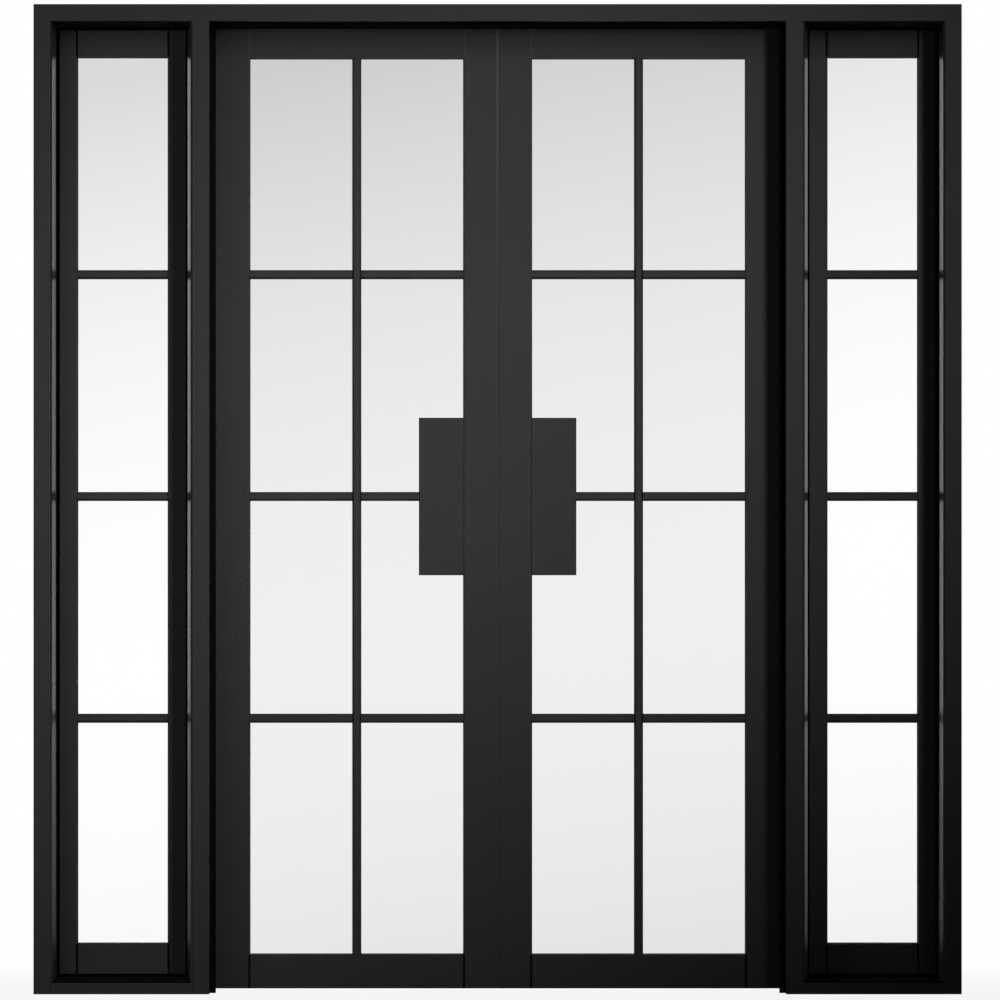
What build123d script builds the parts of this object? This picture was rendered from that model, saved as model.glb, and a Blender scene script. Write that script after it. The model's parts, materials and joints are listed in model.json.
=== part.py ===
from build123d import *
import os

# A glazed room divider: a deep painted timber frame with a fixed glazed sidelight at each end
# and a pair of glazed doors between them, which swing to the back on butt hinges.
# Millimetres. The origin is on the left jamb's wall face, at floor level and at mid depth.
# X runs along the divider, Y from its front to its back, and Z up.

os.makedirs("parts", exist_ok=True)

# Frame
frame_height = 2031.0
frame_depth = 133.0
upright_width = 35.0
head_height = 35.0
sill_height = 23.0
sidelight_opening = 290.0
door_opening = 1184.0
arris_radius = 2.0

# Stops that the doors close against
stop_thickness = 12.0
stop_depth = 32.0
stop_round = 3.0

# Splayed beads that line the sidelight openings in front of the fixed panels
bead_thickness = 9.5
bead_setback = 2.5
splay_width = 6.5
splay_depth = 20.0

# Leaf and panel construction
panel_thickness = 35.0
panel_fit = 0.8
joint_groove = 1.2
glass_thickness = 6.0
glass_bite = 8.0
glass_fit = 0.25
bar_width = 18.6
bar_face_recess = 2.0
bar_chamfer = 4.0
bar_lowest = 564.0
bar_pitch = 457.0
bar_rows = 3

# Sidelight panel
sidelight_stile = 49.9
sidelight_top_rail = 69.2
sidelight_bottom_rail = 76.8

# Door leaf
door_gap = 5.0
meeting_gap = 5.0
head_gap = 7.0
floor_gap = 8.0
hinge_stile = 75.5
meeting_stile = 66.5
door_top_rail = 65.3
door_bottom_rail = 69.3
lock_block_width = 91.0
lock_block_height = 320.0

# Seal in the gap between the two meeting stiles
seal_setback = 0.3
seal_slit = 0.4
seal_lip = 3.0
seal_bite = 1.5
seal_groove_depth = 3.0
seal_groove_width = 8.0

# Butt hinges
hinge_height = 102.0
hinge_flap_depth = 30.0
hinge_flap_thickness = 2.2
hinge_axis_offset = 5.5
knuckle_radius = 4.5
knuckle_gap = 0.4
pin_radius = 2.5
pin_clearance = 0.05
pin_head_height = 3.0
pin_head_radius = 3.6
hinge_edge_distance = 200.0
hinge_count = 3

# Places that follow from the sizes above
frame_width = 4 * upright_width + 2 * sidelight_opening + door_opening
centre_x = frame_width / 2
front_y = -frame_depth / 2
back_y = frame_depth / 2
head_underside = frame_height - head_height
panel_front_y = back_y - panel_thickness
panel_y = back_y - panel_thickness / 2
bead_front = front_y + bead_setback
bead_depth = panel_front_y - bead_front
glass_front = panel_y - glass_thickness / 2
glass_back = panel_y + glass_thickness / 2
bar_depth = (panel_thickness - glass_thickness) / 2 - bar_face_recess
bar_levels = [bar_lowest + row * bar_pitch for row in range(bar_rows)]
door_half = door_opening / 2
door_bottom = floor_gap
door_top = head_underside - head_gap
hinge_axis_y = back_y + hinge_axis_offset

# Edges within this distance of a face count as lying on it
same_place = 0.01

# A cylinder that stands on its place
standing = (Align.CENTER, Align.CENTER, Align.MIN)

# Each side is mirrored about the middle of the divider: a place is given as its distance
# from the middle, and its side's sign turns it into an X value.
sides = {"left": -1.0, "right": 1.0}


def across(sign, distance):
    """X of a place at a distance from the middle of the divider, on the side with this sign."""
    return centre_x + sign * distance


def block(low, high, mode=Mode.ADD):
    """Add a box between two opposite corners, given as (x, y, z) in any order."""
    middle = tuple((a + b) / 2 for a, b in zip(low, high))
    size = [abs(b - a) for a, b in zip(low, high)]
    with Locations(middle):
        Box(*size, mode=mode)


def cut(low, high):
    """Remove a box between two opposite corners, given as (x, y, z) in any order."""
    block(low, high, Mode.SUBTRACT)


def save(piece, name):
    """Label a finished piece and write it as its own file."""
    piece.part.label = name
    export_step(piece.part, f"parts/{name}.step")


def edges_at(builder, axis, y):
    """Edges of the piece being made that run along an axis at this Y."""
    return builder.edges().filter_by(axis).filter_by_position(Axis.Y, y - same_place, y + same_place)


def glass_groove(low, high):
    """Cut the glass groove between two corners given in X and Z, at the panel's mid thickness."""
    cut((low[0], glass_front - glass_fit, low[1]), (high[0], glass_back + glass_fit, high[1]))


def ease_rail_ends(builder):
    """Chamfer a rail's upright end edges, which leaves a fine V joint against each stile."""
    for y in (panel_front_y, back_y):
        chamfer(edges_at(builder, Axis.Z, y), joint_groove)


def bead(wall_start, wall_end, inner_end, inner_start):
    """Add a mitred bead from its four corners in X and Z, with its inner front edge splayed."""
    with BuildSketch(Plane.XZ.offset(-bead_front)) as outline:
        with BuildLine():
            Polyline(wall_start, wall_end, inner_end, inner_start, close=True)
        make_face()
    bead_solid = extrude(outline.sketch, amount=-bead_depth)
    middle = Vector((inner_start[0] + inner_end[0]) / 2, bead_front, (inner_start[1] + inner_end[1]) / 2)
    inner_edge = bead_solid.edges().sort_by_distance(middle)[0]
    front_face = bead_solid.faces().sort_by(Axis.Y)[0]
    chamfer(inner_edge, splay_width, splay_depth, reference=front_face)


def bar_pair(low, high):
    """Add a chamfered glazing bar on each face of the glass, between two corners in X and Z."""
    for near, far in ((glass_front, glass_front - bar_depth), (glass_back, glass_back + bar_depth)):
        block((low[0], near, low[1]), (high[0], far, high[1]))


def ease_bars(builder, axis):
    """Chamfer the long outer edges of the glazing bars that run along an axis."""
    for y in (glass_front - bar_depth, glass_back + bar_depth):
        chamfer(edges_at(builder, axis, y), bar_chamfer)


# Head of the frame, across the tops of all the uprights
with BuildPart() as head:
    block((0, front_y, head_underside), (frame_width, back_y, frame_height))
save(head, "head")

# Outer jambs, with the arris towards the sidelight rounded
jamb_inner = centre_x - upright_width
for side, sign in sides.items():
    with BuildPart() as jamb:
        block((across(sign, centre_x), front_y, 0), (across(sign, jamb_inner), back_y, head_underside))
        inner_arris = edges_at(jamb, Axis.Z, front_y).sort_by(Axis.X)[0 if sign > 0 else -1]
        fillet(inner_arris, arris_radius)
    save(jamb, f"{side}_jamb")

# Mullions between the doors and the sidelights, with the same rounding on the sidelight's side
mullion_outer = door_half + upright_width
for side, sign in sides.items():
    with BuildPart() as mullion:
        block((across(sign, door_half), front_y, 0), (across(sign, mullion_outer), back_y, head_underside))
        outer_arris = edges_at(mullion, Axis.Z, front_y).sort_by(Axis.X)[-1 if sign > 0 else 0]
        fillet(outer_arris, arris_radius)
    save(mullion, f"{side}_mullion")

# Sills under the sidelights
for side, sign in sides.items():
    with BuildPart() as sill:
        block((across(sign, mullion_outer), front_y, 0), (across(sign, jamb_inner), back_y, sill_height))
        fillet(edges_at(sill, Axis.X, front_y).sort_by(Axis.Z)[-1], arris_radius)
    save(sill, f"{side}_sill")

# Stops for the doors, set forward of the closed leaves by the door gap
door_stop_back = panel_front_y - door_gap
door_stop_front = door_stop_back - stop_depth
with BuildPart() as door_side_stops:
    for sign in sides.values():
        block(
            (across(sign, door_half), door_stop_front, 0),
            (across(sign, door_half - stop_thickness), door_stop_back, head_underside),
        )
    stop_edges = edges_at(door_side_stops, Axis.Z, door_stop_front).sort_by(Axis.X)
    fillet(stop_edges[1:3], stop_round)
save(door_side_stops, "door_side_stops")

with BuildPart() as door_head_stop:
    stop_reach = door_half - stop_thickness
    block(
        (across(-1, stop_reach), door_stop_front, head_underside - stop_thickness),
        (across(1, stop_reach), door_stop_back, head_underside),
    )
    fillet(edges_at(door_head_stop, Axis.X, door_stop_front).sort_by(Axis.Z)[0], stop_round)
save(door_head_stop, "door_head_stop")

# Beads that line the sidelights, mitred at the corners and splayed towards the front
bead_low = sill_height + bead_thickness
bead_high = head_underside - bead_thickness
with BuildPart() as sidelight_side_stops:
    for sign in sides.values():
        for wall, inward in ((mullion_outer, 1.0), (jamb_inner, -1.0)):
            wall_x = across(sign, wall)
            inner_x = across(sign, wall + inward * bead_thickness)
            bead((wall_x, sill_height), (wall_x, head_underside), (inner_x, bead_high), (inner_x, bead_low))
save(sidelight_side_stops, "sidelight_side_stops")

with BuildPart() as sidelight_cross_stops:
    for sign in sides.values():
        wall_start = across(sign, mullion_outer)
        wall_end = across(sign, jamb_inner)
        inner_start = across(sign, mullion_outer + bead_thickness)
        inner_end = across(sign, jamb_inner - bead_thickness)
        for wall_z, inner_z in ((sill_height, bead_low), (head_underside, bead_high)):
            bead((wall_start, wall_z), (wall_end, wall_z), (inner_end, inner_z), (inner_start, inner_z))
save(sidelight_cross_stops, "sidelight_cross_stops")

# Fixed sidelight panels: stiles, rails, cross bars and one sheet of glass each
panel_near = mullion_outer + panel_fit
panel_far = jamb_inner - panel_fit
panel_bottom = sill_height
panel_top = head_underside - panel_fit
pane_near = panel_near + sidelight_stile
pane_far = panel_far - sidelight_stile
pane_bottom = panel_bottom + sidelight_bottom_rail
pane_top = panel_top - sidelight_top_rail
groove = glass_bite + glass_fit

for side, sign in sides.items():
    for place, edge, sight in (("inner", panel_near, pane_near), ("outer", panel_far, pane_far)):
        toward_edge = 1.0 if edge > sight else -1.0
        with BuildPart() as stile:
            block(
                (across(sign, edge), panel_front_y, panel_bottom),
                (across(sign, sight), back_y, panel_top),
            )
            glass_groove(
                (across(sign, sight), pane_bottom - groove),
                (across(sign, sight + toward_edge * groove), pane_top + groove),
            )
        save(stile, f"{side}_sidelight_{place}_stile")

    for place, low, high in (("top", pane_top, panel_top), ("bottom", panel_bottom, pane_bottom)):
        groove_end = low + groove if place == "top" else high - groove
        groove_start = low if place == "top" else high
        with BuildPart() as rail:
            block(
                (across(sign, pane_near), panel_front_y, low),
                (across(sign, pane_far), back_y, high),
            )
            ease_rail_ends(rail)
            glass_groove(
                (across(sign, pane_near), groove_start),
                (across(sign, pane_far), groove_end),
            )
        save(rail, f"{side}_sidelight_{place}_rail")

    with BuildPart() as cross_bars:
        for level in bar_levels:
            bar_pair(
                (across(sign, pane_near), level - bar_width / 2),
                (across(sign, pane_far), level + bar_width / 2),
            )
        ease_bars(cross_bars, Axis.X)
    save(cross_bars, f"{side}_sidelight_cross_bars")

    with BuildPart() as glass:
        block(
            (across(sign, pane_near - glass_bite), glass_front, pane_bottom - glass_bite),
            (across(sign, pane_far + glass_bite), glass_back, pane_top + glass_bite),
        )
    save(glass, f"{side}_sidelight_glass")

# Door leaves: stiles, rails, lock block, upright bar, cross bars and one notched sheet of glass each
leaf_near = meeting_gap / 2
leaf_far = door_half - door_gap
sight_near = leaf_near + meeting_stile
sight_far = leaf_far - hinge_stile
sight_middle = (sight_near + sight_far) / 2
sight_bottom = door_bottom + door_bottom_rail
sight_top = door_top - door_top_rail
lock_reach = sight_near + lock_block_width
lock_level = bar_levels[bar_rows // 2]
lock_bottom = lock_level - lock_block_height / 2
lock_top = lock_level + lock_block_height / 2

for side, sign in sides.items():
    with BuildPart() as stile:
        block(
            (across(sign, leaf_far), panel_front_y, door_bottom),
            (across(sign, sight_far), back_y, door_top),
        )
        glass_groove(
            (across(sign, sight_far), sight_bottom - groove),
            (across(sign, sight_far + groove), sight_top + groove),
        )
    save(stile, f"{side}_door_hinge_stile")

    with BuildPart() as stile:
        block(
            (across(sign, leaf_near), panel_front_y, door_bottom),
            (across(sign, sight_near), back_y, door_top),
        )
        glass_groove(
            (across(sign, sight_near), sight_bottom - groove),
            (across(sign, sight_near - groove), lock_bottom + groove),
        )
        glass_groove(
            (across(sign, sight_near), lock_top - groove),
            (across(sign, sight_near - groove), sight_top + groove),
        )
        if side == "right":
            cut(
                (across(sign, leaf_near), panel_y - seal_groove_width / 2, door_bottom),
                (across(sign, leaf_near + seal_groove_depth), panel_y + seal_groove_width / 2, door_top),
            )
    save(stile, f"{side}_door_meeting_stile")

    for place, low, high in (("top", sight_top, door_top), ("bottom", door_bottom, sight_bottom)):
        groove_end = low + groove if place == "top" else high - groove
        groove_start = low if place == "top" else high
        with BuildPart() as rail:
            block(
                (across(sign, sight_near), panel_front_y, low),
                (across(sign, sight_far), back_y, high),
            )
            ease_rail_ends(rail)
            glass_groove(
                (across(sign, sight_near), groove_start),
                (across(sign, sight_far), groove_end),
            )
        save(rail, f"{side}_door_{place}_rail")

    with BuildPart() as lock_block:
        near_x = across(sign, sight_near)
        far_x = across(sign, lock_reach)
        block((near_x, panel_front_y, lock_bottom), (far_x, back_y, lock_top))
        stile_edges = lock_block.edges().filter_by(Axis.Z).sort_by(Axis.X)
        chamfer(stile_edges[:2] if sign > 0 else stile_edges[-2:], joint_groove)
        glass_groove((near_x, lock_top), (far_x, lock_top - groove))
        glass_groove((near_x, lock_bottom), (far_x, lock_bottom + groove))
        glass_groove((far_x, lock_bottom), (across(sign, lock_reach - groove), lock_top))
    save(lock_block, f"{side}_door_lock_block")

    with BuildPart() as upright_bar:
        bar_pair(
            (across(sign, sight_middle - bar_width / 2), sight_bottom),
            (across(sign, sight_middle + bar_width / 2), sight_top),
        )
        ease_bars(upright_bar, Axis.Z)
    save(upright_bar, f"{side}_door_upright_bar")

    with BuildPart() as cross_bars:
        for level in bar_levels:
            inner_end = lock_reach if lock_bottom < level < lock_top else sight_near
            spans = (
                (inner_end, sight_middle - bar_width / 2),
                (sight_middle + bar_width / 2, sight_far),
            )
            for start, end in spans:
                bar_pair(
                    (across(sign, start), level - bar_width / 2),
                    (across(sign, end), level + bar_width / 2),
                )
        ease_bars(cross_bars, Axis.X)
    save(cross_bars, f"{side}_door_cross_bars")

    with BuildPart() as glass:
        block(
            (across(sign, sight_near - glass_bite), glass_front, sight_bottom - glass_bite),
            (across(sign, sight_far + glass_bite), glass_back, sight_top + glass_bite),
        )
        cut(
            (across(sign, 0), panel_front_y, lock_bottom + glass_bite),
            (across(sign, lock_reach - glass_bite), back_y, lock_top - glass_bite),
        )
    save(glass, f"{side}_door_glass")

# Meeting seal on the left leaf's edge: it fills the front of the gap, and its lip stands in the
# groove of the right leaf
with BuildPart() as meeting_seal:
    seal_front = panel_front_y + seal_setback
    lip_front = panel_y - seal_lip / 2
    lip_back = panel_y + seal_lip / 2
    seal_edge = across(-1, leaf_near)
    slit_edge = across(1, leaf_near - seal_slit)
    lip_edge = across(1, leaf_near + seal_bite)
    block((seal_edge, seal_front, door_bottom), (slit_edge, lip_back, door_top))
    block((slit_edge, lip_front, door_bottom), (lip_edge, lip_back, door_top))
save(meeting_seal, "meeting_seal")

# Butt hinges with three equal knuckles: each is a flap on the mullion with the two outer knuckles
# and the pin, and a flap on the leaf with the middle knuckle, in the gap between mullion and leaf
lowest_hinge = door_bottom + hinge_edge_distance
highest_hinge = door_top - hinge_edge_distance
hinge_pitch = (highest_hinge - lowest_hinge) / (hinge_count - 1)
hinge_levels = [lowest_hinge + row * hinge_pitch for row in range(hinge_count)]
knuckle_height = hinge_height / 3
hinge_axis_distance = door_half - door_gap / 2
flap_front = back_y - hinge_flap_depth
flap_back = hinge_axis_y - knuckle_radius - knuckle_gap

for side, sign in sides.items():
    hinge_x = across(sign, hinge_axis_distance)

    with BuildPart() as frame_hinges:
        for level in hinge_levels:
            low = level - hinge_height / 2
            wall = across(sign, door_half)
            face = across(sign, door_half - hinge_flap_thickness)
            block((wall, flap_front, low), (face, flap_back, low + hinge_height))
            for bottom in (low, low + 2 * knuckle_height):
                block((wall, flap_back, bottom), (face, hinge_axis_y, bottom + knuckle_height))
                with Locations((hinge_x, hinge_axis_y, bottom)):
                    Cylinder(knuckle_radius, knuckle_height, align=standing)
            with Locations((hinge_x, hinge_axis_y, low)):
                Cylinder(pin_radius, hinge_height, align=standing)
            for tip in (low - pin_head_height, low + hinge_height):
                with Locations((hinge_x, hinge_axis_y, tip)):
                    Cylinder(pin_head_radius, pin_head_height, align=standing)
    save(frame_hinges, f"{side}_frame_hinges")

    with BuildPart() as leaf_hinges:
        for level in hinge_levels:
            low = level - hinge_height / 2
            wall = across(sign, leaf_far)
            face = across(sign, leaf_far + hinge_flap_thickness)
            middle_low = low + knuckle_height + knuckle_gap
            middle_high = low + 2 * knuckle_height - knuckle_gap
            block((wall, flap_front, low), (face, flap_back, low + hinge_height))
            block((wall, flap_back, middle_low), (face, hinge_axis_y, middle_high))
            with Locations((hinge_x, hinge_axis_y, middle_low)):
                Cylinder(knuckle_radius, middle_high - middle_low, align=standing)
            with Locations((hinge_x, hinge_axis_y, middle_low)):
                Cylinder(
                    pin_radius + pin_clearance,
                    middle_high - middle_low,
                    align=standing,
                    mode=Mode.SUBTRACT,
                )
    save(leaf_hinges, f"{side}_leaf_hinges")
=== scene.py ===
"""Finishes a glazed room divider around its construction model and sets the stage for its picture."""

import json
import math

import bpy
import numpy as np
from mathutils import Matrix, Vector

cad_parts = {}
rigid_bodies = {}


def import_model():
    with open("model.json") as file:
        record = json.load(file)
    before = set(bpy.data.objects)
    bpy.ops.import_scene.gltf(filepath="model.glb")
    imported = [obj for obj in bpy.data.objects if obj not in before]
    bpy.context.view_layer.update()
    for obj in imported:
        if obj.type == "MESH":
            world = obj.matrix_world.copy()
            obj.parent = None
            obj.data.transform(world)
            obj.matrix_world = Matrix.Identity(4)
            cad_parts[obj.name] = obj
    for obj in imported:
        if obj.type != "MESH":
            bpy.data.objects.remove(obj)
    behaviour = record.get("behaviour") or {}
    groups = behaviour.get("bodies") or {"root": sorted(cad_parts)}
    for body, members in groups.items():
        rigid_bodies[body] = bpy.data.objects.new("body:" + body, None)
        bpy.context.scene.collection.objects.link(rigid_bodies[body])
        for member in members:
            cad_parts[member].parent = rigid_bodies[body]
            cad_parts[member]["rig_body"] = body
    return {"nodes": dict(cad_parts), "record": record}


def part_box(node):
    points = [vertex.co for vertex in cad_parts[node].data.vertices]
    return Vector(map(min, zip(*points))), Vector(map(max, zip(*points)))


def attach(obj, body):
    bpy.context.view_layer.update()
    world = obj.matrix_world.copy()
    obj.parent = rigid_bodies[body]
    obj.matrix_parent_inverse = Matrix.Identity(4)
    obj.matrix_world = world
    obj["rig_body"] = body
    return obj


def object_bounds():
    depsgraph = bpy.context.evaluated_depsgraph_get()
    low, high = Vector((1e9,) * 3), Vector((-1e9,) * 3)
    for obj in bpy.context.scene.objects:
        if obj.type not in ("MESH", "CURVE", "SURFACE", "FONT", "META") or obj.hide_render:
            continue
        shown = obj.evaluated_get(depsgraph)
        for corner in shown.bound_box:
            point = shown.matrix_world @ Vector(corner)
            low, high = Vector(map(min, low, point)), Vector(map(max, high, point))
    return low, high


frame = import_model()
cad_low, cad_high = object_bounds()

bl_info = {
    "name": "Glazed Room Divider",
    "version": (1, 0, 0),
    "blender": (4, 5, 0),
    "location": "View3D > Sidebar > Divider",
    "description": "Finishes a glazed room divider and sets the stage for its picture",
    "category": "Object",
}

MM = 0.001
SIDES = ("left", "right")
PANEL_STILES = {
    "sidelight": ("inner_stile", "outer_stile"),
    "door": ("hinge_stile", "meeting_stile"),
}
# Ends of the names of the pieces whose grain runs level
LEVEL_GRAIN = ("head", "sill", "rail", "cross_bars")


def linear(hex_text):
    """Linear red, green and blue of an sRGB hex value, by the sRGB transfer curve."""
    srgb = [int(hex_text[i : i + 2], 16) / 255 for i in (1, 3, 5)]
    return tuple(c / 12.92 if c <= 0.04045 else ((c + 0.055) / 1.055) ** 2.4 for c in srgb)


def corners(node):
    """Lowest and highest corner of a construction node, as two arrays in metres."""
    low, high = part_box(node)
    return np.array(low), np.array(high)


# Settings that a user would change


class PaintSettings(bpy.types.PropertyGroup):
    """Finish of the painted timber."""

    colour: bpy.props.FloatVectorProperty(
        name="Paint",
        description="Body colour of the satin paint",
        subtype="COLOR",
        size=3,
        default=linear("#202020"),
    )
    worn_colour: bpy.props.FloatVectorProperty(
        name="Paint variation",
        description="Slightly lighter tone that clouds the paint",
        subtype="COLOR",
        size=3,
        default=linear("#262626"),
    )
    roughness: bpy.props.FloatProperty(
        name="Roughness",
        description="Mean roughness of the satin film",
        subtype="FACTOR",
        min=0,
        max=1,
        default=0.48,
    )
    sheen: bpy.props.FloatProperty(
        name="Sheen",
        description="Strength of the film's mirror reflection",
        subtype="FACTOR",
        min=0,
        max=1,
        default=0.3,
    )
    grain_width: bpy.props.FloatProperty(
        name="Grain width",
        description="Spacing of the timber grain that shows faintly through the paint",
        unit="LENGTH",
        default=4 * MM,
    )
    arris: bpy.props.FloatProperty(
        name="Arris",
        description="Radius to which sanding eases the timber's sharp edges",
        unit="LENGTH",
        default=1.2 * MM,
    )
    # Painted shade: this flat near-black makes the doors' stops and the sidelights' level beads read
    # as the shadow in the gaps and under the head
    stop_shade_colour: bpy.props.FloatVectorProperty(
        name="Stop paint",
        description="Flat black on the doors' stops and on the sidelights' level beads",
        subtype="COLOR",
        size=3,
        default=linear("#0a0a0a"),
    )
    bead_roughness: bpy.props.FloatProperty(
        name="Bead roughness",
        description="Roughness of the glossier upright beads beside the sidelights",
        subtype="FACTOR",
        min=0,
        max=1,
        default=0.2,
    )
    bead_sheen: bpy.props.FloatProperty(
        name="Bead sheen",
        description="Strength of the upright beads' mirror reflection",
        subtype="FACTOR",
        min=0,
        max=1,
        default=0.38,
    )
    bead_dullness: bpy.props.FloatProperty(
        name="Bead dullness",
        description="Roughness that dust and scuffs leave on the upright beads at the floor",
        subtype="FACTOR",
        min=0,
        max=1,
        default=0.6,
    )
    dull_height: bpy.props.FloatProperty(
        name="Dull height",
        description="Height above the floor at which the upright beads have their full gloss",
        unit="LENGTH",
        default=0.85,
    )


class GlassSettings(bpy.types.PropertyGroup):
    """Finish of the glass and of its bedding."""

    tint: bpy.props.FloatVectorProperty(
        name="Glass tint",
        description="Colour of the light that the sheet lets through",
        subtype="COLOR",
        size=3,
        default=linear("#fdfdfd"),
    )
    bedding_width: bpy.props.FloatProperty(
        name="Bedding width",
        description="Leg of the sealant fillet between glass and timber",
        unit="LENGTH",
        default=2.2 * MM,
    )
    bedding_colour: bpy.props.FloatVectorProperty(
        name="Bedding",
        description="Colour of the sealant",
        subtype="COLOR",
        size=3,
        default=linear("#161616"),
    )
    bead_thickness: bpy.props.FloatProperty(
        name="Bead thickness",
        description="Thickness of the beads round a sidelight's opening",
        unit="LENGTH",
        default=9.5 * MM,
    )
    # Painted shade: a near-black fillet put in the corner between bead and panel to stand for the
    # shade there
    shade_fillet_width: bpy.props.FloatProperty(
        name="Gasket width",
        description="Leg of the gasket in the corner between a bead and the fixed panel",
        unit="LENGTH",
        default=6 * MM,
    )
    # Colour of that painted shade
    shade_fillet_colour: bpy.props.FloatVectorProperty(
        name="Gasket",
        description="Colour of the gasket",
        subtype="COLOR",
        size=3,
        default=linear("#060606"),
    )


class HardwareSettings(bpy.types.PropertyGroup):
    """Hinges, screws, meeting seal, and the joint beads of painted shade and painted highlight."""

    hinge_colour: bpy.props.FloatVectorProperty(
        name="Hinge coat",
        description="Colour of the hinges' powder coat",
        subtype="COLOR",
        size=3,
        default=linear("#1e1e1f"),
    )
    hinge_count: bpy.props.IntProperty(
        name="Hinges", description="Hinges on each leaf", min=2, default=3
    )
    hinge_height: bpy.props.FloatProperty(
        name="Hinge height",
        description="Height of a hinge's flaps",
        unit="LENGTH",
        default=102 * MM,
    )
    flap_thickness: bpy.props.FloatProperty(
        name="Flap thickness",
        description="Thickness of a hinge's flaps",
        unit="LENGTH",
        default=2.2 * MM,
    )
    pin_head: bpy.props.FloatProperty(
        name="Pin head",
        description="Height of the pin's head beyond the knuckles",
        unit="LENGTH",
        default=3 * MM,
    )
    screw_colour: bpy.props.FloatVectorProperty(
        name="Screw",
        description="Colour of the blackened screws",
        subtype="COLOR",
        size=3,
        default=linear("#3a3a3b"),
    )
    screw_radius: bpy.props.FloatProperty(
        name="Screw radius",
        description="Radius of a countersunk screw head",
        unit="LENGTH",
        default=4 * MM,
    )
    # Partly the seal's own dark rubber, partly painted light: the tone is set paler so that the shade
    # of the slit at the meeting line does not show
    seal_tone_and_painted_light: bpy.props.FloatVectorProperty(
        name="Seal",
        description="Colour of the rubber seal",
        subtype="COLOR",
        size=3,
        default=linear("#272727"),
    )
    seal_sheen: bpy.props.FloatProperty(
        name="Seal sheen",
        description="Strength of the rubber's mirror reflection",
        subtype="FACTOR",
        min=0,
        max=1,
        default=0.3,
    )
    # Painted shade: the near-black of the joint beads stands for the shadow in the joints between
    # rails and stiles
    joint_shade_colour: bpy.props.FloatVectorProperty(
        name="Caulk",
        description="Colour of the caulk in the joints of the panels",
        subtype="COLOR",
        size=3,
        default=linear("#060606"),
    )
    # Kept low so that the painted shade in the joints stays dark
    joint_shade_sheen: bpy.props.FloatProperty(
        name="Caulk sheen",
        description="Strength of the caulk's mirror reflection",
        subtype="FACTOR",
        min=0,
        max=1,
        default=0.05,
    )
    # Size of the beads that carry the painted shade over the joints
    joint_shade_width: bpy.props.FloatProperty(
        name="Caulk width",
        description="Width of a bead of caulk over a joint",
        unit="LENGTH",
        default=4.5 * MM,
    )
    joint_shade_rise: bpy.props.FloatProperty(
        name="Caulk rise",
        description="Height of a bead of caulk over the timber",
        unit="LENGTH",
        default=0.3 * MM,
    )
    # Painted highlight: the seal and the doors' joint beads turn paler between these heights, standing
    # for light caught near the top
    painted_highlight_colour: bpy.props.FloatVectorProperty(
        name="Bloom",
        description="Paler colour to which the seal and the doors' caulk have bloomed at the top",
        subtype="COLOR",
        size=3,
        default=linear("#3e3e3e"),
    )
    painted_highlight_start: bpy.props.FloatProperty(
        name="Bloom start",
        description="Height above the floor at which the bloom begins",
        unit="LENGTH",
        default=1.4,
    )
    painted_highlight_full: bpy.props.FloatProperty(
        name="Bloom full",
        description="Height above the floor at which the bloom is complete",
        unit="LENGTH",
        default=1.9,
    )


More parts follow.
